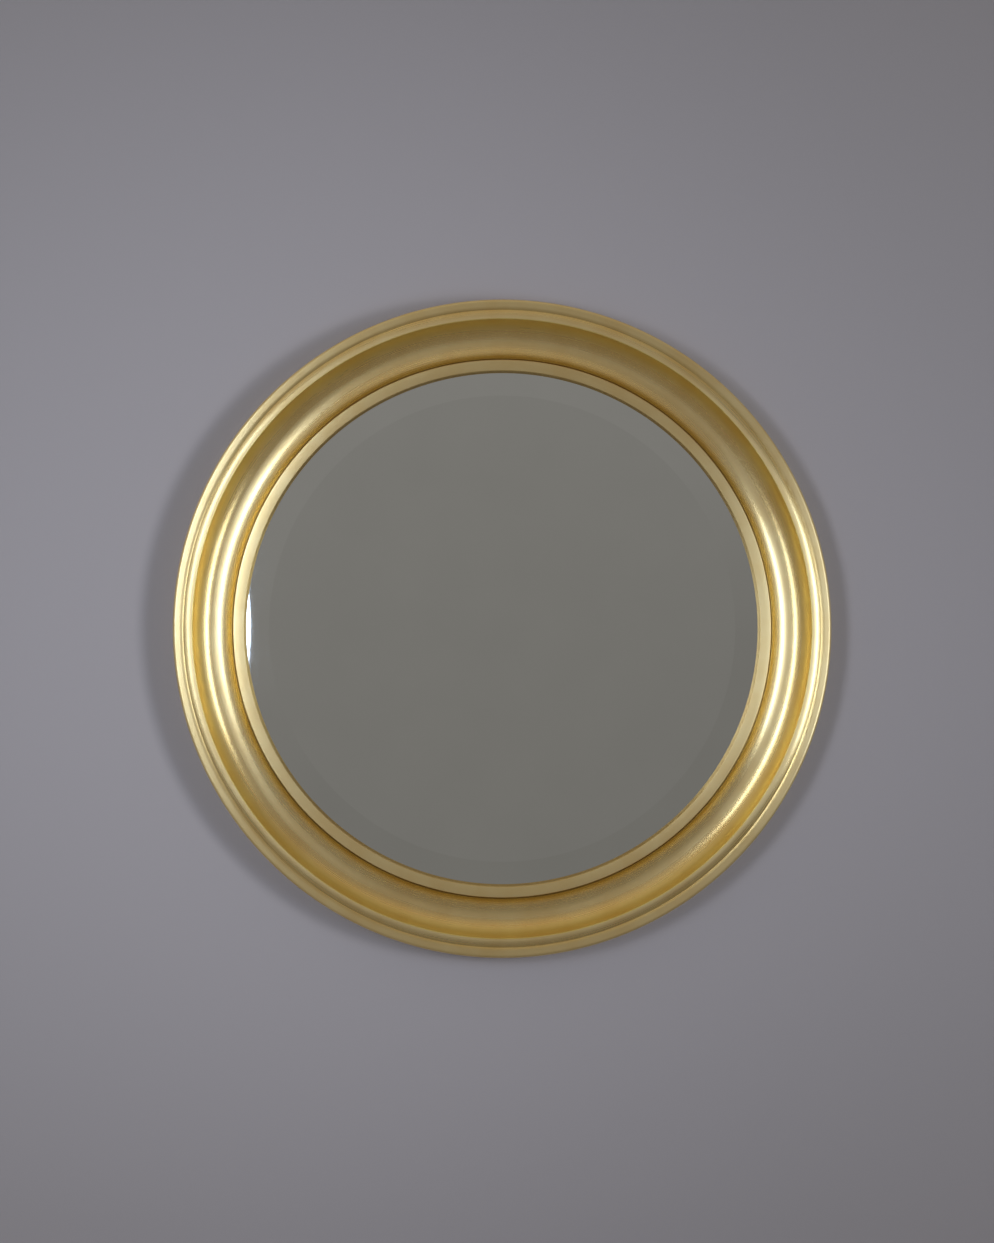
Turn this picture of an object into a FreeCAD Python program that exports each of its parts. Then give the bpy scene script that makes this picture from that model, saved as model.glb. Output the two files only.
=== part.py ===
import FreeCAD, Part
import math
import os

# A round wall mirror: a bevelled glass in a gilded ring that is turned from glued segments of wood.
# Millimetres. The origin is the centre of the hanger's eye, on the plane where the ring meets the wall.
# +Z is up, the wall lies at +Y, and the mirror faces -Y.
# Places across the ring are radii from the mirror's axis. Heights are measured forward from the wall.
# Angles run anticlockwise from +X, as seen from the front.

# Moulding, from the sight edge outwards
sight_radius = 236.0
slip_width = 9.5
groove_width = 1.6
cove_width = 35.1
ridge_width = 0.9
ovolo_width = 7.5
band_slope_width = 3.4
band_width = 9.4

# Moulding, forward from the wall
slip_height = 23.9
slip_fall = 0.2
groove_depth = 2.6
cove_inner_step = 1.2
cove_depth = 11.4
ridge_height = 32.8
ovolo_fall = 1.9
ovolo_bulge = 0.4
band_rise = 0.8
band_slope_bulge = 0.2
band_outer_round = 2.6
back_chamfer = 1.5
lip_thickness = 6.5

# Ring segments and the loose keys in their joints
segment_count = 8
key_width = 18.0
key_thickness = 5.0
key_length = 28.0
key_inset = 6.0
key_height = 11.0
glue_gap = 0.1

# Glass, and what lies behind it
glass_thickness = 5.0
glass_edge_thickness = 2.6
bevel_width = 27.3
glass_under_lip = 4.7
glass_lip_gap = 0.1
spacer_thickness = 2.0
spacer_length = 20.0
spacer_fit = 0.05
sheet_thickness = 2.0
board_thickness = 5.0
board_clearance = 0.3

# Turn buttons and their screws
button_count = 6
button_thickness = 1.6
button_tail_radius = 6.5
button_nose_radius = 4.5
button_reach = 13.5
button_edge_round = 0.4
button_setback = 1.5
button_running_gap = 0.05
button_swing_room = 1.2
button_screw_length = 8.0
button_head_radius = 4.0
button_head_height = 2.2
screw_radius = 1.75
screw_tip_length = 3.0
screw_slot_width = 0.9
screw_slot_depth = 1.0
pilot_clearance = 0.05

# Keyhole hanger, let in flush with the back of the ring
plate_width = 50.0
plate_height = 23.0
plate_thickness = 2.0
plate_corner_radius = 4.0
plate_edge = 3.5
plate_below_eye = 6.5
plate_fit = 0.1
eye_radius = 4.75
slot_radius = 2.3
slot_rise = 8.5
pocket_radius = 5.5
pocket_depth = 9.0
plate_screw_spacing = 36.0
plate_screw_length = 14.0
plate_screw_head_radius = 3.6

# How far a cutting shape runs past the faces that it cuts
overrun = 1.0

# Radii across the ring
slip_radius = sight_radius + slip_width
groove_radius = slip_radius + groove_width / 2
cove_inner_radius = slip_radius + groove_width
cove_outer_radius = cove_inner_radius + cove_width
ridge_radius = cove_outer_radius + ridge_width
ovolo_radius = ridge_radius + ovolo_width
band_crest_radius = ovolo_radius + band_slope_width
outer_radius = ovolo_radius + band_width
glass_radius = sight_radius + glass_under_lip
glass_flat_radius = glass_radius - bevel_width
rebate_radius = glass_radius + spacer_thickness
board_radius = rebate_radius - board_clearance
button_pivot_radius = rebate_radius + button_tail_radius + button_setback
button_tip = button_reach + button_nose_radius
recess_radius = button_pivot_radius + button_tip + button_swing_room
hanger_radius = recess_radius + plate_edge + plate_below_eye
key_radius = outer_radius - key_inset - key_width / 2

# Heights from the wall
sight_height = slip_height - slip_fall
lip_height = sight_height - lip_thickness
groove_floor = slip_height - groove_depth
cove_inner_height = slip_height - cove_inner_step
ovolo_foot = ridge_height - ovolo_fall
band_height = ovolo_foot + band_rise
bevel_fall = glass_thickness - glass_edge_thickness
bevel_fall_at_sight = bevel_fall * (sight_radius - glass_flat_radius) / bevel_width
glass_front = lip_height - glass_lip_gap + bevel_fall_at_sight
glass_back = glass_front - glass_thickness
sheet_back = glass_back - sheet_thickness
board_back = sheet_back - board_thickness
ledge_height = board_back
button_front = ledge_height - button_running_gap
button_back = button_front - button_thickness

segment_angle = 360 / segment_count
button_angle = 360 / button_count

AXIS_POINT = FreeCAD.Vector(0, 0, -hanger_radius)
FORWARD = FreeCAD.Vector(0, -1, 0)
BACKWARD = FreeCAD.Vector(0, 1, 0)


def on_section(radius, height):
    """The point of the ring's cross-section at angle zero."""
    return AXIS_POINT + FreeCAD.Vector(radius, -height, 0)


def outline_face(corners):
    """A face from corners of (vector, bulge): bulge is the rise, to the left, of the edge that ends there."""
    edges = []
    for index, (end, bulge) in enumerate(corners):
        start = corners[index - 1][0]
        if bulge == 0:
            edges.append(Part.LineSegment(start, end).toShape())
            continue
        along = (end - start).normalize()
        left = FreeCAD.Vector(-along.y, along.x, 0)
        crest = (start + end) * 0.5 + left * bulge
        edges.append(Part.Arc(start, crest, end).toShape())
    return Part.Face(Part.Wire(edges))


def quarter_bulge(radius):
    """The rise of a quarter circle over its chord."""
    return radius * (1 - math.sqrt(0.5))


def turned(shape, angle):
    """A copy of the shape, turned about the mirror's axis."""
    copy = shape.copy()
    copy.rotate(AXIS_POINT, FORWARD, angle)
    return copy


def ring_sector(face, angle, middle):
    """The solid that a cross-section sweeps over an angle, centred on the middle angle."""
    return turned(face.revolve(AXIS_POINT, FORWARD, angle), middle - angle / 2)


def disc(radius, back, thickness):
    """A disc on the mirror's axis, from a back height forward."""
    return Part.makeCylinder(radius, thickness, AXIS_POINT + FORWARD * back, FORWARD)


def bar(radius, height, width, thickness, length):
    """A box centred at a radius and a height, at angle zero: its width is radial, its length tangential."""
    corner = on_section(radius - width / 2, height + thickness / 2) - FreeCAD.Vector(0, 0, length / 2)
    return Part.makeBox(width, thickness, length, corner)


def moulding_face():
    """The ring's cross-section, from the lip's inner corner round the front to the wall and back."""
    outer_round_start = outer_radius - band_outer_round
    outer_bulge = -quarter_bulge(band_outer_round)
    corners = [
        (sight_radius, lip_height, 0),
        (sight_radius, sight_height, 0),
        (slip_radius, slip_height, 0),
        (groove_radius, groove_floor, 0),
        (cove_inner_radius, cove_inner_height, 0),
        (cove_outer_radius, ridge_height, cove_depth),
        (ridge_radius, ridge_height, 0),
        (ovolo_radius, ovolo_foot, -ovolo_bulge),
        (band_crest_radius, band_height, -band_slope_bulge),
        (outer_round_start, band_height, 0),
        (outer_radius, band_height - band_outer_round, outer_bulge),
        (outer_radius, back_chamfer, 0),
        (outer_radius - back_chamfer, 0, 0),
        (recess_radius, 0, 0),
        (recess_radius, ledge_height, 0),
        (rebate_radius, ledge_height, 0),
        (rebate_radius, lip_height, 0),
    ]
    return outline_face([(on_section(radius, height), bulge) for radius, height, bulge in corners])


def joint_key(gap):
    """A loose key across the joint at angle zero, or its slot where gap is the room for glue."""
    return bar(key_radius, key_height, key_width + 2 * gap, key_thickness + 2 * gap, key_length + 2 * gap)


def mirror_glass():
    """A round plate whose front slopes back to a thin edge."""
    edge_height = glass_back + glass_edge_thickness
    corners = [
        (0, glass_back),
        (glass_radius, glass_back),
        (glass_radius, edge_height),
        (glass_flat_radius, glass_front),
        (0, glass_front),
    ]
    face = outline_face([(on_section(radius, height), 0) for radius, height in corners])
    return face.revolve(AXIS_POINT, FORWARD, 360)


def glass_spacer(middle):
    """A cork block between the glass edge and the rebate."""
    inner = glass_radius + spacer_fit
    outer = rebate_radius - spacer_fit
    front = glass_back + glass_edge_thickness
    corners = [(inner, glass_back), (outer, glass_back), (outer, front), (inner, front)]
    face = outline_face([(on_section(radius, height), 0) for radius, height in corners])
    return ring_sector(face, math.degrees(spacer_length / rebate_radius), middle)


def on_screw(places):
    """A solid turned about the Y axis from places of (radius, distance behind the screw's seat)."""
    face = outline_face([(FreeCAD.Vector(radius, behind, 0), bulge) for radius, behind, bulge in places])
    return face.revolve(FreeCAD.Vector(0, 0, 0), BACKWARD, 360)


def screw_shank(length):
    """The places of a shank that runs forward from the seat to a point."""
    return [(0, -length, 0), (screw_radius, screw_tip_length - length, 0)]


def slotted(screw, head_radius, head_back):
    """The screw with a driver's slot across its head."""
    length = 2 * (head_radius + overrun)
    corner = FreeCAD.Vector(-length / 2, head_back - screw_slot_depth, -screw_slot_width / 2)
    return screw.cut(Part.makeBox(length, screw_slot_depth + overrun, screw_slot_width, corner))


def button_screw():
    """A round-headed screw, with the head's underside at zero."""
    length = button_screw_length + button_thickness + 2 * button_running_gap
    half_chord = math.hypot(button_head_radius, button_head_height) / 2
    dome_radius = (button_head_radius**2 + button_head_height**2) / (2 * button_head_height)
    dome_bulge = dome_radius - math.sqrt(dome_radius**2 - half_chord**2)
    places = screw_shank(length) + [
        (screw_radius, 0, 0),
        (button_head_radius, 0, 0),
        (0, button_head_height, -dome_bulge),
    ]
    return slotted(on_screw(places), button_head_radius, button_head_height)


def plate_screw(gap):
    """A countersunk screw, flush with the plate's back at zero, or its hole where gap is the clearance."""
    head_depth = plate_screw_head_radius - screw_radius
    places = [
        (0, -plate_screw_length - gap, 0),
        (screw_radius + gap, screw_tip_length - plate_screw_length, 0),
        (screw_radius + gap, -head_depth, 0),
        (plate_screw_head_radius + gap, 0, 0),
        (0, 0, 0),
    ]
    return on_screw(places)


def pilot_hole():
    """The hole in the ring for a button's screw, at angle zero."""
    depth = button_screw_length + pilot_clearance
    start = on_section(button_pivot_radius, ledge_height) + BACKWARD * overrun
    return Part.makeCylinder(screw_radius + pilot_clearance, depth + overrun, start, FORWARD)


def turn_button():
    """A flat tongue that turns about its screw, at angle zero with its nose towards the mirror's axis."""
    pivot = on_section(button_pivot_radius, button_front)
    lean = (button_tail_radius - button_nose_radius) / button_reach
    rise = math.sqrt(1 - lean**2)
    tail = FreeCAD.Vector(-lean * button_tail_radius, 0, rise * button_tail_radius)
    nose = FreeCAD.Vector(-button_reach - lean * button_nose_radius, 0, rise * button_nose_radius)
    tail_low = FreeCAD.Vector(tail.x, 0, -tail.z)
    nose_low = FreeCAD.Vector(nose.x, 0, -nose.z)
    tail_end = FreeCAD.Vector(button_tail_radius, 0, 0)
    nose_end = FreeCAD.Vector(-button_tip, 0, 0)
    outline = Part.Wire([
        Part.LineSegment(tail, nose).toShape(),
        Part.Arc(nose, nose_end, nose_low).toShape(),
        Part.LineSegment(nose_low, tail_low).toShape(),
        Part.Arc(tail_low, tail_end, tail).toShape(),
    ])
    tongue = Part.Face(outline).extrude(BACKWARD * button_thickness)
    back_edges = [edge for edge in tongue.Edges if edge.BoundBox.YMin > button_thickness / 2]
    tongue = tongue.makeFillet(button_edge_round, back_edges)
    bore_radius = screw_radius + button_running_gap
    bore_length = button_thickness + 2 * overrun
    tongue = tongue.cut(Part.makeCylinder(bore_radius, bore_length, FORWARD * overrun, BACKWARD))
    tongue.translate(pivot)
    return tongue


def button_angles():
    """The buttons stand clear of the hanger at the top."""
    return [number * button_angle for number in range(button_count)]


def rounded_plate(width, height, thickness, corner_radius):
    """The hanger's plate with its back at zero, standing round the eye."""
    corner = FreeCAD.Vector(-width / 2, -thickness, (plate_height - height) / 2 - plate_below_eye)
    plate = Part.makeBox(width, thickness, height, corner)
    upright = [edge for edge in plate.Edges if abs(edge.tangentAt(edge.FirstParameter).y) > 0.5]
    return plate.makeFillet(corner_radius, upright)


def keyhole_slot(radius, front, length):
    """A slot of one width from the eye up to where the wall screw's shank rests."""
    low = Part.makeCylinder(radius, length, FORWARD * front, BACKWARD)
    high = low.copy()
    high.translate(FreeCAD.Vector(0, 0, slot_rise))
    web = Part.makeBox(2 * radius, length, slot_rise, FreeCAD.Vector(-radius, -front, 0))
    return low.multiFuse([high, web]).removeSplitter()


def plate_screw_places():
    """The screws stand either side of the keyhole, at the plate's half height."""
    middle = plate_height / 2 - plate_below_eye
    return [FreeCAD.Vector(side * plate_screw_spacing / 2, 0, middle) for side in (-1, 1)]


def moved(shape, place):
    """A copy of the shape, moved by a vector."""
    copy = shape.copy()
    copy.translate(place)
    return copy


def hanger_plate():
    """A plate with a keyhole: the screw's head enters at the eye, and its shank slides up the slot."""
    through = plate_thickness + 2 * overrun
    front = plate_thickness + overrun
    eye = Part.makeCylinder(eye_radius, through, FORWARD * front, BACKWARD)
    cuts = [eye, keyhole_slot(slot_radius, front, through)]
    cuts += [moved(plate_screw(pilot_clearance), place) for place in plate_screw_places()]
    return rounded_plate(plate_width, plate_height, plate_thickness, plate_corner_radius).cut(cuts)


def hanger_mortise():
    """What is cut from the ring for the plate, the wall screw's head and the plate's screws."""
    seat_width = plate_width + 2 * plate_fit
    seat_height = plate_height + 2 * plate_fit
    seat = rounded_plate(seat_width, seat_height, plate_thickness, plate_corner_radius + plate_fit)
    mouth = moved(seat, BACKWARD * overrun)
    pocket = keyhole_slot(pocket_radius, plate_thickness + pocket_depth, pocket_depth + overrun)
    holes = [moved(plate_screw(pilot_clearance), place) for place in plate_screw_places()]
    return [seat, mouth, pocket] + holes


def frame_segments():
    """The segments, each with half a key slot in both ends, and the holes that fall in it."""
    cuts = [turned(joint_key(glue_gap), (number + 0.5) * segment_angle) for number in range(segment_count)]
    cuts += [turned(pilot_hole(), angle) for angle in button_angles()]
    cuts += hanger_mortise()
    face = moulding_face()
    return [
        ring_sector(face, segment_angle, number * segment_angle).cut(cuts)
        for number in range(segment_count)
    ]


def write(name, shape):
    """One file for each piece."""
    shape.exportStep(f"parts/{name}.step")


def main():
    os.makedirs("parts", exist_ok=True)
    for number, segment in enumerate(frame_segments(), start=1):
        middle = (number - 1) * segment_angle
        write(f"frame_segment_{number}", segment.Solids[0])
        write(f"segment_key_{number}", turned(joint_key(0), middle + segment_angle / 2))
        write(f"glass_spacer_{number}", glass_spacer(middle))

    write("mirror_glass", mirror_glass())
    write("backing_sheet", disc(glass_radius, sheet_back, sheet_thickness))
    write("back_board", disc(board_radius, board_back, board_thickness))

    seat = on_section(button_pivot_radius, button_back - button_running_gap)
    screw = moved(button_screw(), seat)
    for number, angle in enumerate(button_angles(), start=1):
        write(f"turn_button_{number}", turned(turn_button(), angle))
    write("turn_button_screws", Part.Compound([turned(screw, angle) for angle in button_angles()]))

    write("hanger_plate", hanger_plate())
    fixing = slotted(plate_screw(0), plate_screw_head_radius, 0)
    write("hanger_screws", Part.Compound([moved(fixing, place) for place in plate_screw_places()]))


main()
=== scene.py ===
import math

import bmesh
import bpy
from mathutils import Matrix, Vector


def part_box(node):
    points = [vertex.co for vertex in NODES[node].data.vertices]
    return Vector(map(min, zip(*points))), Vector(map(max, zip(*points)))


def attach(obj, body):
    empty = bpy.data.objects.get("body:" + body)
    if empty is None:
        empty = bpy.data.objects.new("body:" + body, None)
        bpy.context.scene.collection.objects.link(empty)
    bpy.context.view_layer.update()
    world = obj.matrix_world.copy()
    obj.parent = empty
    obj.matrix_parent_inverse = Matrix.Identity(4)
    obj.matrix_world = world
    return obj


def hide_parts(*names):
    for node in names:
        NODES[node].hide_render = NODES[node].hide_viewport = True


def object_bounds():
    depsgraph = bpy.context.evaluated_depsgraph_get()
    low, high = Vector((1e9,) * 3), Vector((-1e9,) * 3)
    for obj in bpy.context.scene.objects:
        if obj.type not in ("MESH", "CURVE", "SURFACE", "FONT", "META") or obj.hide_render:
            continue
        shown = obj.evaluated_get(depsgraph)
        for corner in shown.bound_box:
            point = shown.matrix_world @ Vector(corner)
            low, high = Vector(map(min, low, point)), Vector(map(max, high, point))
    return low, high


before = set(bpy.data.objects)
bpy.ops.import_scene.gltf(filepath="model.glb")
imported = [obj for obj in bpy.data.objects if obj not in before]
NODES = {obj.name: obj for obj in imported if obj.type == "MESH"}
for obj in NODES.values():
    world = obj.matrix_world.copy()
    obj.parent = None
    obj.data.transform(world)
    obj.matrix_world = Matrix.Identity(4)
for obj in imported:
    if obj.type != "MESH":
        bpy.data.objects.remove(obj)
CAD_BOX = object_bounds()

# A round wall mirror: bevelled glass in a gilded ring with a hollow moulding.
# The ring's wood, the boards and the fittings are the frame's own solids, dressed here in their materials.
# The gilding is a thin skin over the ring's front and side, and the glass is a finely turned plate.

MM = 0.001

# Places that the frame gives: the mirror's axis is parallel to Y
GLASS_LOW, GLASS_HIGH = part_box("mirror_glass")
GLASS_RADIUS = (GLASS_HIGH.x - GLASS_LOW.x) / 2
GLASS_FRONT = -GLASS_LOW.y
GLASS_BACK = -GLASS_HIGH.y
AXIS = Vector((0, 0, (GLASS_LOW.z + GLASS_HIGH.z) / 2))
OUTER_RADIUS = (CAD_BOX[1].x - CAD_BOX[0].x) / 2
RIDGE_HEIGHT = -CAD_BOX[0].y

# Moulding, from the sight edge outwards, as widths
SLIP_WIDTH = 9.5 * MM
GROOVE_WIDTH = 1.6 * MM
COVE_WIDTH = 35.1 * MM
RIDGE_WIDTH = 0.9 * MM
OVOLO_WIDTH = 7.5 * MM
VALLEY_WIDTH = 3.4 * MM
BAND_ROUND = 2.6 * MM

# Moulding, from the sight edge outwards, as radii
SIGHT_RADIUS = 236.0 * MM
SLIP_RADIUS = SIGHT_RADIUS + SLIP_WIDTH
GROOVE_RADIUS = SLIP_RADIUS + GROOVE_WIDTH / 2
COVE_INNER_RADIUS = SLIP_RADIUS + GROOVE_WIDTH
COVE_OUTER_RADIUS = COVE_INNER_RADIUS + COVE_WIDTH
COVE_MIDDLE_RADIUS = (COVE_INNER_RADIUS + COVE_OUTER_RADIUS) / 2
RIDGE_RADIUS = COVE_OUTER_RADIUS + RIDGE_WIDTH
OVOLO_RADIUS = RIDGE_RADIUS + OVOLO_WIDTH
OVOLO_MIDDLE_RADIUS = (RIDGE_RADIUS + OVOLO_RADIUS) / 2
BAND_CREST_RADIUS = OVOLO_RADIUS + VALLEY_WIDTH

# Moulding, as heights forward from the wall
SLIP_HEIGHT = 23.9 * MM
SLIP_FALL = 0.2 * MM
LIP_THICKNESS = 6.5 * MM
GROOVE_DEPTH = 2.6 * MM
COVE_STEP = 1.2 * MM
COVE_DEPTH = 11.4 * MM
OVOLO_FALL = 1.9 * MM
OVOLO_BULGE = 0.4 * MM
BAND_RISE = 0.8 * MM
BAND_BULGE = 0.2 * MM
BACK_CHAMFER = 1.5 * MM
BAND_HEIGHT = RIDGE_HEIGHT - OVOLO_FALL + BAND_RISE

# Gilding
LEAF_STANDOFF = 0.25 * MM
LEAF_THICKNESS = 0.2 * MM
LEAF_INSIDE = SIGHT_RADIUS - LEAF_STANDOFF
ARRIS_ROUND = 0.22 * MM

# Glass
BEVEL_WIDTH = 27.3 * MM
GLASS_EDGE = 2.6 * MM

# How finely round pieces are drawn
RING_STEPS = 480
GLASS_STEPS = 720
ARRIS_SEGMENTS = 4
ARC_STEP = math.radians(4)
SAME_PLACE = ARRIS_ROUND / 10
MERGE_DISTANCE = 0.01 * MM

# Edges that turn by more degrees than this stay sharp
LEAF_CREASE = 35
GLASS_CREASE = 2

# Sizes of the patterns: tool lines and wood fibres are too fine to show, so theirs are drawn coarser
LATHE_LINE = 0.9 * MM
LEAF_CLOUD = 30 * MM
# Width of the painted shade at the ends of the hollow
PAINTED_SHADE_WIDTH = 5.0 * MM
GLASS_HAZE = 60 * MM
LIME_GROWTH = 4.0 * MM
LIME_FIBRE = 1.0 * MM
BEECH_GROWTH = 3.0 * MM
BEECH_FIBRE = 0.6 * MM
CORK_GRAIN = 2.0 * MM
PULP_FIBRE = 1.2 * MM
BOARD_FIBRE = 1.5 * MM
BOARD_CLOUD = 25 * MM
SCREEN_MESH = 4.0 * MM
BRASS_CLOUD = 6 * MM
BRASS_SCRATCH = 0.5 * MM
STEEL_CLOUD = 4 * MM
STEEL_SCRATCH = 0.4 * MM

# How far patterns are drawn out: a tool line round the ring, in radians, and wood grain, in its own widths
LATHE_RUN = 0.2
GRAIN_STRETCH = 25

# Heights of the fine relief
LATHE_RELIEF = 0.05 * MM
WOOD_RELIEF = 0.1 * MM
CORK_RELIEF = 0.2 * MM
PULP_RELIEF = 0.1 * MM
BOARD_RELIEF = 0.25 * MM
METAL_RELIEF = 0.05 * MM

# Shares of one pattern in another
WOOD_FIBRE_SHARE = 0.4
BOARD_CLOUD_SHARE = 0.2
SCREEN_SHARE = 0.3

# Tones of the materials, by how far along their patterns they lie
LEAF_TONES = [(0.35, "#EFCE8E"), (0.65, "#F3D699")]
GLASS_TONES = [(0.0, "#E9EAE8"), (1.0, "#F0F1EF")]
LIME_TONES = [(0.3, "#B08E63"), (0.5, "#C8A87C"), (0.7, "#DABF96")]
BEECH_TONES = [(0.3, "#A67B54"), (0.5, "#BD9268"), (0.7, "#CFA97F")]
CORK_TONES = [(0.0, "#7C5632"), (0.5, "#A87C4C"), (1.0, "#C79E6C")]
GREYBOARD_TONES = [(0.3, "#77736B"), (0.5, "#8D8980"), (0.75, "#A5A198")]
HARDBOARD_TONES = [(0.3, "#5A3D25"), (0.5, "#714F32"), (0.7, "#8A6643")]
BRASS_TONES = [(0.3, "#B8924F"), (0.5, "#D3B06A"), (0.7, "#E3C583")]
ZINC_TONES = [(0.3, "#8E9193"), (0.5, "#A1A4A5"), (0.7, "#B3B6B6")]
STEEL_TONES = [(0.3, "#57585A"), (0.5, "#6A6B6C"), (0.7, "#7D7E7E")]

# Painted shade over the leaf, by radius, for the shade in its recesses: where there is none, the leaf keeps
# its own colour
NO_PAINTED_SHADE = "#FFFFFF"
PAINTED_SHADE = [
    # Painted shade on the lip's inner wall, where it meets the glass
    (LEAF_INSIDE, "#DCCFA4"),
    (SIGHT_RADIUS + ARRIS_ROUND, NO_PAINTED_SHADE),
    (SLIP_RADIUS - GROOVE_WIDTH / 4, NO_PAINTED_SHADE),
    # Painted shade in the groove and at the hollow's inner end
    (GROOVE_RADIUS, "#BCAA70"),
    (COVE_INNER_RADIUS + GROOVE_WIDTH, "#DFD8B0"),
    (COVE_INNER_RADIUS + PAINTED_SHADE_WIDTH, NO_PAINTED_SHADE),
    (COVE_MIDDLE_RADIUS, NO_PAINTED_SHADE),
    # Painted shade towards the hollow's outer end under the ridge, which also dims the highlights there
    (COVE_OUTER_RADIUS - 2 * PAINTED_SHADE_WIDTH, "#FFF6E0"),
    (COVE_OUTER_RADIUS - PAINTED_SHADE_WIDTH / 2, "#FBFED4"),
    (COVE_OUTER_RADIUS, "#FBFED4"),
    (RIDGE_RADIUS, NO_PAINTED_SHADE),
    (OVOLO_MIDDLE_RADIUS, NO_PAINTED_SHADE),
    # Painted shade in the valley beside the band
    (OVOLO_RADIUS, "#F4EEDC"),
    (BAND_CREST_RADIUS, NO_PAINTED_SHADE),
]

# Roughness of the leaf, by radius: burnished most in the hollow, and satin on the slip and the band
SATIN = [
    (SLIP_RADIUS, 0.38),
    (COVE_INNER_RADIUS, 0.27),
    (COVE_INNER_RADIUS + 0.30 * COVE_WIDTH, 0.27),
    (COVE_INNER_RADIUS + 0.42 * COVE_WIDTH, 0.35),
    (COVE_INNER_RADIUS + 0.50 * COVE_WIDTH, 0.33),
    (COVE_INNER_RADIUS + 0.60 * COVE_WIDTH, 0.22),
    (COVE_INNER_RADIUS + 0.74 * COVE_WIDTH, 0.28),
    (COVE_OUTER_RADIUS - ARRIS_ROUND, 0.36),
    (RIDGE_RADIUS, 0.5),
    (RIDGE_RADIUS + 4 * ARRIS_ROUND, 0.5),
    (OVOLO_MIDDLE_RADIUS, 0.28),
    (OVOLO_RADIUS, 0.28),
    (BAND_CREST_RADIUS, 0.37),
]

# Stage, in metres
WALL_GAP = 0.5 * MM
WALL_RADIUS = 5.6
WALL_STEPS = 256
WALL_PAINT = "#9A9393"
FLOOR_SIZE = 200.0
FLOOR_DROP = 1.5
FLOOR_PAINT = "#E6E4E0"
DAYLIGHT = "#CDE1FF"
LAMPLIGHT = "#FFFFFF"

# Surroundings, from their dark side to their light side, which is up and a little to the left
LIGHT_SIDE = (-0.35, 0, 0.94)
ROOM_TONES = [
    (0.0, "#656460"),
    (0.25, "#73716C"),
    (0.45, "#787672"),
    (0.5, "#7D7B77"),
    (0.55, "#82807C"),
    (0.65, "#85837F"),
    (0.8, "#A39E91"),
    (1.0, "#B0AB9E"),
]

# Picture: the ring's outline in the photograph's pixels
PICTURE_WIDTH = 994
PICTURE_HEIGHT = 1243
RING_PIXEL_X = 502.1
RING_PIXEL_Y = 628.7
RING_PIXEL_RADIUS = 329.3

# Camera: its distance from the band in metres, and its sensor's width in millimetres
CAMERA_DISTANCE = 2.6
SENSOR = 36.0


# Modelling

def deselect_all():
    """Nothing selected, so that the next operator acts on the new piece alone."""
    bpy.ops.object.select_all(action="DESELECT")


def on_section(radius, height):
    """The point of a round piece's cross-section at angle zero."""
    return AXIS + Vector((radius, -height, 0))


def section_points(corners):
    """Points along a section of (radius, height, bulge).

    An edge with a bulge is an arc, which dips towards the wall if the bulge is positive.
    """
    points = [Vector(corners[0][:2])]
    for radius, height, bulge in corners[1:]:
        start, end = points[-1], Vector((radius, height))
        if bulge:
            half_chord = (end - start).length / 2
            turn = 4 * math.atan2(abs(bulge), half_chord)
            arc_radius = half_chord / math.sin(turn / 2)
            along = (end - start).normalized()
            side = Vector((-along.y, along.x)) * math.copysign(1, bulge)
            centre = (start + end) / 2 + side * (arc_radius - abs(bulge))
            first = math.atan2(start.y - centre.y, start.x - centre.x)
            count = max(2, round(turn / ARC_STEP))
            for step in range(1, count):
                angle = first + math.copysign(turn * step / count, bulge)
                points.append(centre + arc_radius * Vector((math.cos(angle), math.sin(angle))))
        points.append(end)
    return points


def drawn_section(name, corners):
    """A new piece that holds a section as a line: one vertex, drawn along the section's points."""
    points = [on_section(*point) for point in section_points(corners)]
    deselect_all()
    bpy.ops.mesh.primitive_plane_add(size=MM, location=points[0])
    piece = bpy.context.object
    piece.name = name
    bpy.ops.object.transform_apply(location=True, rotation=True, scale=True)
    bpy.ops.object.mode_set(mode="EDIT")
    bpy.ops.mesh.select_all(action="SELECT")
    bpy.ops.mesh.merge(type="CENTER")
    for start, end in zip(points, points[1:]):
        bpy.ops.mesh.extrude_vertices_move(TRANSFORM_OT_translate={"value": end - start})
    return piece


def select_vertices(piece, places):
    """Selects only the vertices at these places."""
    mesh = bmesh.from_edit_mesh(piece.data)
    for vertex in mesh.verts:
        vertex.select = any((vertex.co - place).length < SAME_PLACE for place in places)
    mesh.select_flush_mode()
    bmesh.update_edit_mesh(piece.data)


def spin_section(steps):
    """Turns the drawn section once round the mirror's axis, and closes its seam and poles."""
    bpy.ops.mesh.select_all(action="SELECT")
    bpy.ops.mesh.spin(steps=steps, angle=2 * math.pi, center=AXIS, axis=(0, 1, 0))
    bpy.ops.mesh.select_all(action="SELECT")
    bpy.ops.mesh.remove_doubles(threshold=MERGE_DISTANCE)
    bpy.ops.mesh.normals_make_consistent(inside=False)


def finish_piece(piece, crease, body):
    """Back in object mode: smooth but for edges that turn by more than the crease, riding on its body."""
    bpy.ops.object.mode_set(mode="OBJECT")
    bpy.ops.object.shade_smooth_by_angle(angle=math.radians(crease))
    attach(piece, body)
    return piece


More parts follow.
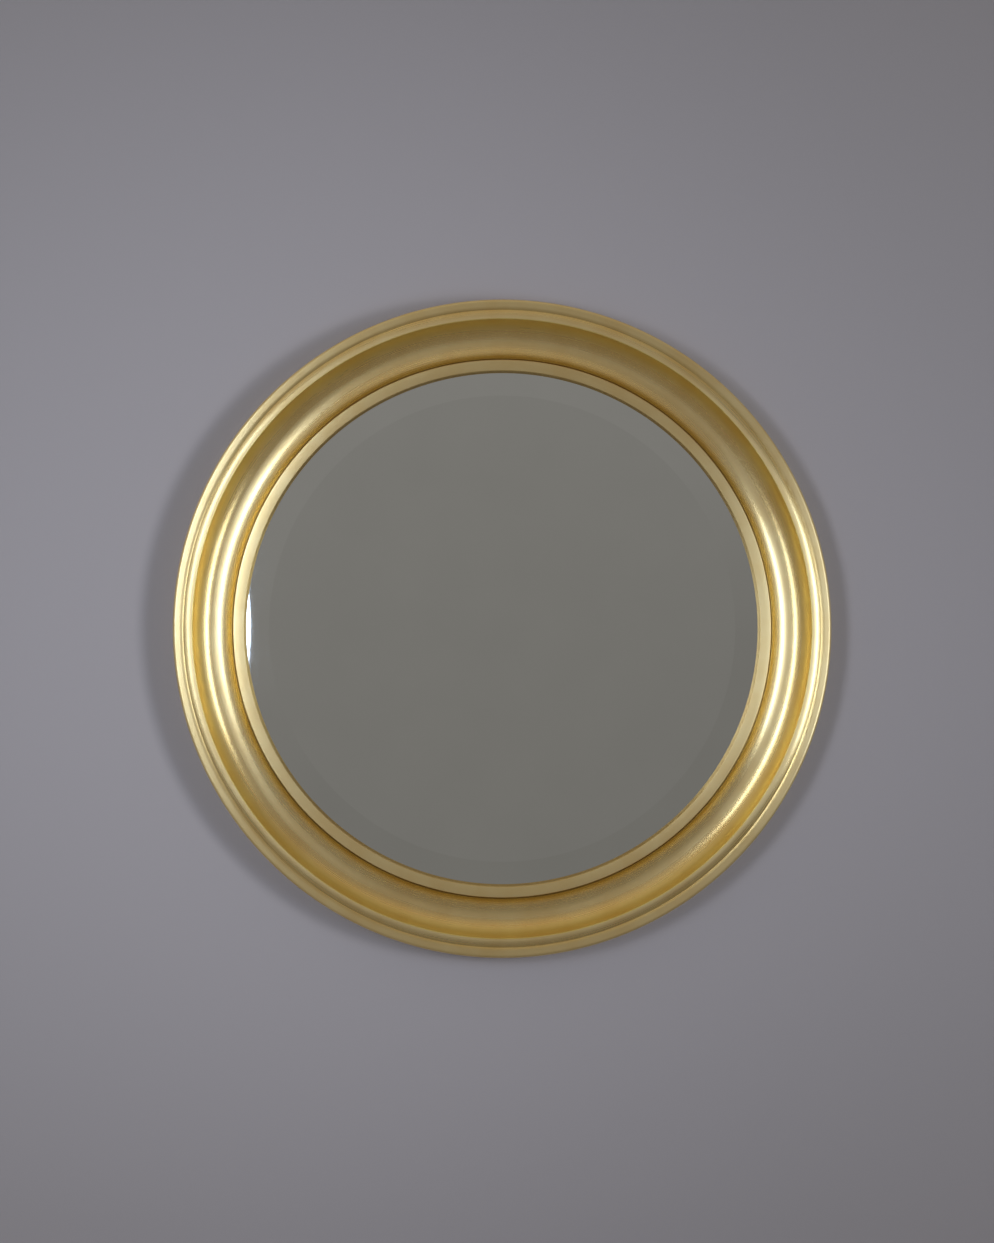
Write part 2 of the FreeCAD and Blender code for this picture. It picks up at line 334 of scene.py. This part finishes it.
def make_gilding():
    """The skin of leaf, from the lip's inner corner round the front to the back's chamfer."""
    sight_height = SLIP_HEIGHT - SLIP_FALL
    cove_height = SLIP_HEIGHT - COVE_STEP
    round_bulge = BAND_ROUND * (1 - math.sqrt(0.5))
    corners = [
        (SIGHT_RADIUS, sight_height - LIP_THICKNESS, 0),
        (SIGHT_RADIUS, sight_height, 0),
        (SLIP_RADIUS, SLIP_HEIGHT, 0),
        (GROOVE_RADIUS, SLIP_HEIGHT - GROOVE_DEPTH, 0),
        (COVE_INNER_RADIUS, cove_height, 0),
        (COVE_OUTER_RADIUS, RIDGE_HEIGHT, COVE_DEPTH),
        (RIDGE_RADIUS, RIDGE_HEIGHT, 0),
        (OVOLO_RADIUS, RIDGE_HEIGHT - OVOLO_FALL, -OVOLO_BULGE),
        (BAND_CREST_RADIUS, BAND_HEIGHT, -BAND_BULGE),
        (OUTER_RADIUS - BAND_ROUND, BAND_HEIGHT, 0),
        (OUTER_RADIUS, BAND_HEIGHT - BAND_ROUND, -round_bulge),
        (OUTER_RADIUS, BACK_CHAMFER, 0),
    ]
    arrises = [
        on_section(SIGHT_RADIUS, sight_height),
        on_section(SLIP_RADIUS, SLIP_HEIGHT),
        on_section(COVE_INNER_RADIUS, cove_height),
        on_section(COVE_OUTER_RADIUS, RIDGE_HEIGHT),
    ]
    piece = drawn_section("gilding", corners)
    select_vertices(piece, arrises)
    bpy.ops.mesh.bevel(offset=ARRIS_ROUND, segments=ARRIS_SEGMENTS, affect="VERTICES")
    spin_section(RING_STEPS)
    bpy.ops.transform.shrink_fatten(value=LEAF_STANDOFF, use_even_offset=True)
    bpy.ops.object.mode_set(mode="OBJECT")
    thickness = piece.modifiers.new("leaf", "SOLIDIFY")
    thickness.thickness = LEAF_THICKNESS
    thickness.offset = -1
    bpy.ops.object.modifier_apply(modifier=thickness.name)
    return finish_piece(piece, LEAF_CREASE, "mirror")


def make_glass():
    """The plate: a flat face, a wide bevel down to a thin edge, and a flat back."""
    corners = [
        (0, GLASS_FRONT, 0),
        (GLASS_RADIUS - BEVEL_WIDTH, GLASS_FRONT, 0),
        (GLASS_RADIUS, GLASS_BACK + GLASS_EDGE, 0),
        (GLASS_RADIUS, GLASS_BACK, 0),
        (0, GLASS_BACK, 0),
    ]
    piece = drawn_section("silvered_glass", corners)
    spin_section(GLASS_STEPS)
    finish_piece(piece, GLASS_CREASE, "mirror")
    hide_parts("mirror_glass")
    return piece


# Materials

def linear(colour):
    """A colour written as sRGB hex, as the linear values that shaders take, by the sRGB standard."""
    shares = [int(colour[place:place + 2], 16) / 255 for place in (1, 3, 5)]
    return [x / 12.92 if x <= 0.04045 else ((x + 0.055) / 1.055) ** 2.4 for x in shares] + [1.0]


def feed(tree, node, inputs):
    """Sets a node's inputs, each to a value or from the socket that feeds it."""
    for name, value in inputs.items():
        if isinstance(value, bpy.types.NodeSocket):
            tree.links.new(value, node.inputs[name])
        else:
            node.inputs[name].default_value = value


def add(tree, kind, inputs=None, stops=None, **settings):
    """A new node, with its settings, a ramp's stops and its inputs.

    A stop is a position with a colour or a plain number.
    """
    made = tree.nodes.new("ShaderNode" + kind)
    for name, value in settings.items():
        setattr(made, name, value)
    if stops:
        elements = made.color_ramp.elements
        elements.remove(elements[1])
        for number, (position, tone) in enumerate(stops):
            element = elements.new(position) if number else elements[0]
            element.position = position
            element.color = linear(tone) if isinstance(tone, str) else [tone, tone, tone, 1.0]
    feed(tree, made, inputs or {})
    return made


# Sockets of a mix node: its share, the two numbers or colours that it mixes, and what it gives
MIX_SHARE = 0
MIX_NUMBER = 2
MIX_OTHER_NUMBER = 3
MIX_COLOUR = 6
MIX_OTHER_COLOUR = 7
MIXED_NUMBER = 0
MIXED_COLOUR = 2


def new_material(name):
    """An empty material with its tree and the shader that it ends in."""
    material = bpy.data.materials.new(name)
    material.use_nodes = True
    tree = material.node_tree
    return material, tree, tree.nodes["Principled BSDF"]


def across_leaf(table):
    """A ramp's stops for a table by radius, from the leaf's inside to the ring's outside."""
    width = OUTER_RADIUS - LEAF_INSIDE
    return [((radius - LEAF_INSIDE) / width, value) for radius, value in table]


def gilded_leaf():
    """Gold leaf burnished on a turned ring: a warm soft mirror with fine lines that follow the turning.

    Painted shade darkens the groove and both ends of the hollow to a deeper amber, where shade falls in
    them.
    A little of it lies over the outer half of the hollow, dimming its highlights, and in the valley beside
    the band.
    """
    material, tree, shader = new_material("gilded_leaf")
    place = add(tree, "TexCoord").outputs["Object"]
    centred = add(tree, "Mapping", {"Vector": place, "Location": -AXIS}).outputs["Vector"]
    flat = add(tree, "VectorMath", {0: centred, 1: (1, 0, 1)}, operation="MULTIPLY").outputs["Vector"]
    radius = add(tree, "VectorMath", {0: flat}, operation="LENGTH").outputs["Value"]
    around = add(tree, "VectorMath", {0: flat}, operation="NORMALIZE").outputs["Vector"]
    slow = add(tree, "VectorMath", {0: around, "Scale": 1 / LATHE_RUN}, operation="SCALE").outputs["Vector"]
    line = add(tree, "Math", {0: radius, 1: 1 / LATHE_LINE}, operation="MULTIPLY").outputs["Value"]
    turned = add(tree, "CombineXYZ", {"Y": line}).outputs["Vector"]
    lathe = add(tree, "VectorMath", {0: slow, 1: turned}, operation="ADD").outputs["Vector"]
    lines = add(tree, "TexNoise", {"Vector": lathe, "Scale": 1.0, "Detail": 3.0}).outputs["Fac"]
    clouds = {"Vector": place, "Scale": 1 / LEAF_CLOUD, "Detail": 4.0}
    cloud = add(tree, "TexNoise", clouds).outputs["Fac"]
    leaf = add(tree, "ValToRGB", {"Fac": cloud}, stops=LEAF_TONES).outputs["Color"]
    across = {"Value": radius, "From Min": LEAF_INSIDE, "From Max": OUTER_RADIUS}
    share = add(tree, "MapRange", across).outputs["Result"]
    # Painted shade by radius, multiplied over the leaf's colour
    painted_shade = add(tree, "ValToRGB", {"Fac": share}, stops=across_leaf(PAINTED_SHADE)).outputs["Color"]
    layers = {MIX_SHARE: 1.0, MIX_COLOUR: leaf, MIX_OTHER_COLOUR: painted_shade}
    leaf_with_painted_shade = add(tree, "Mix", layers, data_type="RGBA", blend_type="MULTIPLY")
    satin = add(tree, "ValToRGB", {"Fac": share}, stops=across_leaf(SATIN)).outputs["Color"]
    uneven = {"Value": lines, "From Min": 0.3, "From Max": 0.7, "To Min": 0.9, "To Max": 1.1}
    vary = add(tree, "MapRange", uneven).outputs["Result"]
    sheen = add(tree, "Math", {0: satin, 1: vary}, operation="MULTIPLY")
    bump = add(tree, "Bump", {"Height": lines, "Strength": 0.02, "Distance": LATHE_RELIEF})
    grain = add(tree, "Tangent", direction_type="RADIAL", axis="Y")
    feed(tree, shader, {
        "Base Color": leaf_with_painted_shade.outputs[MIXED_COLOUR],
        "Roughness": sheen.outputs["Value"],
        "Normal": bump.outputs["Normal"],
        "Tangent": grain.outputs["Tangent"],
        "Metallic": 0.94,
        "Anisotropic": 0.7,
        "Anisotropic Rotation": 0.25,
    })
    return material


def silvered_glass():
    """Polished glass with silver behind it: a clear mirror, faintly cool."""
    material, tree, shader = new_material("silvered_glass")
    place = add(tree, "TexCoord").outputs["Object"]
    hazy = {"Vector": place, "Scale": 1 / GLASS_HAZE, "Detail": 5.0}
    haze = add(tree, "TexNoise", hazy).outputs["Fac"]
    colour = add(tree, "ValToRGB", {"Fac": haze}, stops=GLASS_TONES)
    sheen = add(tree, "MapRange", {"Value": haze, "To Min": 0.0, "To Max": 0.03})
    feed(tree, shader, {
        "Base Color": colour.outputs["Color"],
        "Roughness": sheen.outputs["Result"],
        "Metallic": 1.0,
    })
    return material


def sawn_wood(name, angle, tones, growth, fibre):
    """Planed wood with soft growth bands and fine fibres, along the tangent at an angle of the ring."""
    material, tree, shader = new_material(name)
    place = add(tree, "TexCoord").outputs["Object"]
    turn = (0, math.radians(angle + 90), 0)
    along = add(tree, "Mapping", {"Vector": place, "Rotation": turn}).outputs["Vector"]
    wide = (1 / (GRAIN_STRETCH * growth), 1 / growth, 1 / growth)
    fine = (1 / (GRAIN_STRETCH * fibre), 1 / fibre, 1 / fibre)
    board = add(tree, "VectorMath", {0: along, 1: wide}, operation="MULTIPLY").outputs["Vector"]
    thread = add(tree, "VectorMath", {0: along, 1: fine}, operation="MULTIPLY").outputs["Vector"]
    wavy = {"Vector": board, "Scale": 1.0, "Detail": 2.0, "Distortion": 0.4}
    bands = add(tree, "TexNoise", wavy).outputs["Fac"]
    threads = add(tree, "TexNoise", {"Vector": thread, "Scale": 1.0, "Detail": 4.0}).outputs["Fac"]
    both = {MIX_SHARE: WOOD_FIBRE_SHARE, MIX_NUMBER: bands, MIX_OTHER_NUMBER: threads}
    tone = add(tree, "Mix", both).outputs[MIXED_NUMBER]
    colour = add(tree, "ValToRGB", {"Fac": tone}, stops=tones)
    sheen = add(tree, "MapRange", {"Value": threads, "To Min": 0.5, "To Max": 0.75})
    bump = add(tree, "Bump", {"Height": threads, "Strength": 0.3, "Distance": WOOD_RELIEF})
    feed(tree, shader, {
        "Base Color": colour.outputs["Color"],
        "Roughness": sheen.outputs["Result"],
        "Normal": bump.outputs["Normal"],
    })
    return material


def pressed_cork():
    """Cork granules pressed into a strip: rounded grains of several browns with dark seams."""
    material, tree, shader = new_material("pressed_cork")
    place = add(tree, "TexCoord").outputs["Object"]
    grains = add(tree, "TexVoronoi", {"Vector": place, "Scale": 1 / CORK_GRAIN})
    tint = add(tree, "SeparateColor", {"Color": grains.outputs["Color"]}).outputs["Red"]
    colour = add(tree, "ValToRGB", {"Fac": tint}, stops=CORK_TONES)
    seams = {"Height": grains.outputs["Distance"], "Strength": 0.5, "Distance": CORK_RELIEF}
    bump = add(tree, "Bump", seams, invert=True)
    feed(tree, shader, {
        "Base Color": colour.outputs["Color"],
        "Roughness": 0.85,
        "Normal": bump.outputs["Normal"],
    })
    return material


def greyboard():
    """Board of recycled pulp: dull grey with darker and paler fibres."""
    material, tree, shader = new_material("greyboard")
    place = add(tree, "TexCoord").outputs["Object"]
    fibrous = {"Vector": place, "Scale": 1 / PULP_FIBRE, "Detail": 5.0}
    pulp = add(tree, "TexNoise", fibrous).outputs["Fac"]
    colour = add(tree, "ValToRGB", {"Fac": pulp}, stops=GREYBOARD_TONES)
    bump = add(tree, "Bump", {"Height": pulp, "Strength": 0.3, "Distance": PULP_RELIEF})
    feed(tree, shader, {
        "Base Color": colour.outputs["Color"],
        "Roughness": 0.9,
        "Normal": bump.outputs["Normal"],
    })
    return material


def hardboard():
    """Hot-pressed wood fibre, rough side out: mottled brown, with the mesh of the press screen in its face.

    The real mesh of about 2 mm is too fine to show, so it is drawn twice as coarse.
    """
    material, tree, shader = new_material("hardboard")
    place = add(tree, "TexCoord").outputs["Object"]
    fibrous = {"Vector": place, "Scale": 1 / BOARD_FIBRE, "Detail": 6.0}
    fibre = add(tree, "TexNoise", fibrous).outputs["Fac"]
    clouds = {"Vector": place, "Scale": 1 / BOARD_CLOUD, "Detail": 3.0}
    cloud = add(tree, "TexNoise", clouds).outputs["Fac"]
    both = {MIX_SHARE: BOARD_CLOUD_SHARE, MIX_NUMBER: fibre, MIX_OTHER_NUMBER: cloud}
    tone = add(tree, "Mix", both).outputs[MIXED_NUMBER]
    colour = add(tree, "ValToRGB", {"Fac": tone}, stops=HARDBOARD_TONES)
    waves = {0: place, "Scale": 2 * math.pi / SCREEN_MESH}
    phase = add(tree, "VectorMath", waves, operation="SCALE").outputs["Vector"]
    heights = add(tree, "VectorMath", {0: phase}, operation="SINE").outputs["Vector"]
    wires = add(tree, "SeparateXYZ", {"Vector": heights}).outputs
    screen = add(tree, "Math", {0: wires["X"], 1: wires["Z"]}, operation="MULTIPLY").outputs["Value"]
    pressed = {0: screen, 1: SCREEN_SHARE, 2: fibre}
    relief = add(tree, "Math", pressed, operation="MULTIPLY_ADD").outputs["Value"]
    bump = add(tree, "Bump", {"Height": relief, "Strength": 0.6, "Distance": BOARD_RELIEF})
    feed(tree, shader, {
        "Base Color": colour.outputs["Color"],
        "Roughness": 0.8,
        "Normal": bump.outputs["Normal"],
    })
    return material


def worked_metal(name, tones, cloud, scratch, sheen_low, sheen_high):
    """A stamped metal fitting: cloudy where it has dulled, with a fine worn grain."""
    material, tree, shader = new_material(name)
    place = add(tree, "TexCoord").outputs["Object"]
    dull = add(tree, "TexNoise", {"Vector": place, "Scale": 1 / cloud, "Detail": 5.0}).outputs["Fac"]
    worn = add(tree, "TexNoise", {"Vector": place, "Scale": 1 / scratch, "Detail": 3.0}).outputs["Fac"]
    colour = add(tree, "ValToRGB", {"Fac": dull}, stops=tones)
    sheen = add(tree, "MapRange", {"Value": worn, "To Min": sheen_low, "To Max": sheen_high})
    bump = add(tree, "Bump", {"Height": worn, "Strength": 0.05, "Distance": METAL_RELIEF})
    feed(tree, shader, {
        "Base Color": colour.outputs["Color"],
        "Roughness": sheen.outputs["Result"],
        "Normal": bump.outputs["Normal"],
        "Metallic": 1.0,
    })
    return material


def dress(piece, material):
    """Gives a piece one material all over."""
    piece.data.materials.clear()
    piece.data.materials.append(material)


def dress_wood():
    """Limewood segments, pale and even, and beech tongues, pinker, with the grain along each of them."""
    count = sum(name.startswith("frame_segment_") for name in NODES)
    for number in range(1, count + 1):
        angle = 360 * (number - 1) / count
        joint_angle = angle + 180 / count
        lime = sawn_wood(f"limewood_{number}", angle, LIME_TONES, LIME_GROWTH, LIME_FIBRE)
        beech = sawn_wood(f"beech_{number}", joint_angle, BEECH_TONES, BEECH_GROWTH, BEECH_FIBRE)
        dress(NODES[f"frame_segment_{number}"], lime)
        dress(NODES[f"segment_key_{number}"], beech)


def dress_fittings():
    """Cork spacers, yellow brass buttons and screws, and a pale grey zinc plate on darker screws."""
    cork = pressed_cork()
    brass = worked_metal("stamped_brass", BRASS_TONES, BRASS_CLOUD, BRASS_SCRATCH,
                         sheen_low=0.24, sheen_high=0.4)
    zinc = worked_metal("zinc_plated_steel", ZINC_TONES, STEEL_CLOUD, STEEL_SCRATCH,
                        sheen_low=0.4, sheen_high=0.55)
    steel = worked_metal("oiled_steel", STEEL_TONES, STEEL_CLOUD, STEEL_SCRATCH,
                         sheen_low=0.3, sheen_high=0.45)
    for name, node in NODES.items():
        if name.startswith("glass_spacer"):
            dress(node, cork)
        elif name.startswith("turn_button"):
            dress(node, brass)
    dress(NODES["hanger_plate"], zinc)
    dress(NODES["hanger_screws"], steel)


# Stage, light and camera

def plain_paint(name, colour):
    """Matt emulsion on a smooth ground."""
    material, tree, shader = new_material(name)
    feed(tree, shader, {"Base Color": linear(colour), "Roughness": 0.8})
    return material, tree, shader


def make_wall():
    """A plain wall just behind the ring.

    It is open where the ring covers it and clear from behind, so that the back is lit and can be seen.
    """
    deselect_all()
    place = AXIS + Vector((0, WALL_GAP, 0))
    opening = OUTER_RADIUS + LEAF_STANDOFF
    upright = (math.pi / 2, 0, 0)
    bpy.ops.mesh.primitive_circle_add(vertices=WALL_STEPS, radius=opening, location=place, rotation=upright)
    wall = bpy.context.object
    wall.name = "wall"
    bpy.ops.object.transform_apply(location=True, rotation=True, scale=True)
    bpy.ops.object.mode_set(mode="EDIT")
    bpy.ops.mesh.select_all(action="SELECT")
    bpy.ops.mesh.extrude_edges_move()
    reach = WALL_RADIUS / opening
    bpy.ops.transform.resize(value=(reach, 1, reach), center_override=place)
    bpy.ops.mesh.select_all(action="SELECT")
    if bmesh.from_edit_mesh(wall.data).faces[:][0].normal.y > 0:
        bpy.ops.mesh.flip_normals()
    bpy.ops.object.mode_set(mode="OBJECT")
    material, tree, shader = plain_paint("wall_paint", WALL_PAINT)
    behind = add(tree, "NewGeometry").outputs["Backfacing"]
    clear = add(tree, "BsdfTransparent").outputs["BSDF"]
    mixed = add(tree, "MixShader", {0: behind, 1: shader.outputs["BSDF"], 2: clear})
    feed(tree, tree.nodes["Material Output"], {"Surface": mixed.outputs["Shader"]})
    dress(wall, material)


def make_floor():
    """A plain pale floor, well below the mirror, kept out of its reflections."""
    deselect_all()
    bpy.ops.mesh.primitive_plane_add(size=FLOOR_SIZE, location=AXIS + Vector((0, 0, -FLOOR_DROP)))
    floor = bpy.context.object
    floor.name = "floor"
    floor.visible_glossy = False
    dress(floor, plain_paint("floor_paint", FLOOR_PAINT)[0])


def make_softbox(name, place, aim, width, height, spread, colour, watts, mirrored=True):
    """A rectangular lamp, placed and aimed from the mirror's middle, whose beam spreads by some degrees.

    One that isn't mirrored lights matt surfaces only, and draws the ring's shadow on the wall.
    """
    lamp = bpy.data.lights.new(name, "AREA")
    lamp.shape = "RECTANGLE"
    lamp.size = width
    lamp.size_y = height
    lamp.spread = math.radians(spread)
    lamp.color = linear(colour)[:3]
    lamp.energy = watts
    holder = bpy.data.objects.new(name, lamp)
    bpy.context.scene.collection.objects.link(holder)
    holder.location = AXIS + Vector(place)
    holder.rotation_euler = (Vector(aim) - Vector(place)).to_track_quat("-Z", "Y").to_euler()
    holder.visible_camera = False
    holder.visible_glossy = mirrored


def make_lamps():
    """Two softboxes that the gold mirrors, two lamps for the shadows on the wall, and two for the back."""
    make_softbox("left_softbox", place=(-1.0, -1.95, 0.22), aim=(-0.35, 0, 0),
                 width=0.49, height=1.1, spread=60, colour=DAYLIGHT, watts=2.2)
    make_softbox("right_softbox", place=(1.38, -1.71, 0.0), aim=(0, 0, 0.1),
                 width=0.43, height=1.1, spread=90, colour=DAYLIGHT, watts=3.8)
    make_softbox("left_wall_lamp", place=(-0.95, -1.95, 0.2), aim=(0.6, 0, 0),
                 width=0.4, height=0.4, spread=54, colour=LAMPLIGHT, watts=0.72, mirrored=False)
    make_softbox("right_wall_lamp", place=(1.52, -1.71, 0.0), aim=(-1.1, 0, 0),
                 width=0.4, height=0.4, spread=47, colour=LAMPLIGHT, watts=1.63, mirrored=False)
    for side, across in (("left", -1.6), ("right", 1.6)):
        make_softbox(f"{side}_back_softbox", place=(across, 1.8, 0.6), aim=(0, 0, 0),
                     width=1.2, height=1.2, spread=90, colour=LAMPLIGHT, watts=7)


def make_world():
    """Grey surroundings, lighter towards the ceiling."""
    world = bpy.data.worlds.new("studio")
    bpy.context.scene.world = world
    world.use_nodes = True
    tree = world.node_tree
    towards = add(tree, "TexCoord").outputs["Generated"]
    rise = add(tree, "VectorMath", {0: towards, 1: LIGHT_SIDE}, operation="DOT_PRODUCT").outputs["Value"]
    share = add(tree, "MapRange", {"Value": rise, "From Min": -1.0}).outputs["Result"]
    tone = add(tree, "ValToRGB", {"Fac": share}, stops=ROOM_TONES)
    feed(tree, tree.nodes["Background"], {"Color": tone.outputs["Color"]})


def make_camera():
    """Square on to the mirror, with the ring where the photograph has it.

    The picture is taller than it is wide, so the sensor's width spans its height.
    """
    pixel = OUTER_RADIUS / RING_PIXEL_RADIUS
    camera = bpy.data.cameras.new("camera")
    holder = bpy.data.objects.new("camera", camera)
    bpy.context.scene.collection.objects.link(holder)
    bpy.context.scene.camera = holder
    across = (PICTURE_WIDTH / 2 - RING_PIXEL_X) * pixel
    up = (RING_PIXEL_Y - PICTURE_HEIGHT / 2) * pixel
    holder.location = AXIS + Vector((across, -BAND_HEIGHT - CAMERA_DISTANCE, up))
    holder.rotation_euler = (math.pi / 2, 0, 0)
    camera.sensor_width = SENSOR
    camera.lens = SENSOR * CAMERA_DISTANCE / (PICTURE_HEIGHT * pixel)


dress(make_gilding(), gilded_leaf())
dress(make_glass(), silvered_glass())
dress_wood()
dress_fittings()
dress(NODES["backing_sheet"], greyboard())
dress(NODES["back_board"], hardboard())
make_wall()
make_floor()
make_lamps()
make_world()
make_camera()
bpy.context.scene.view_settings.view_transform = "Standard"
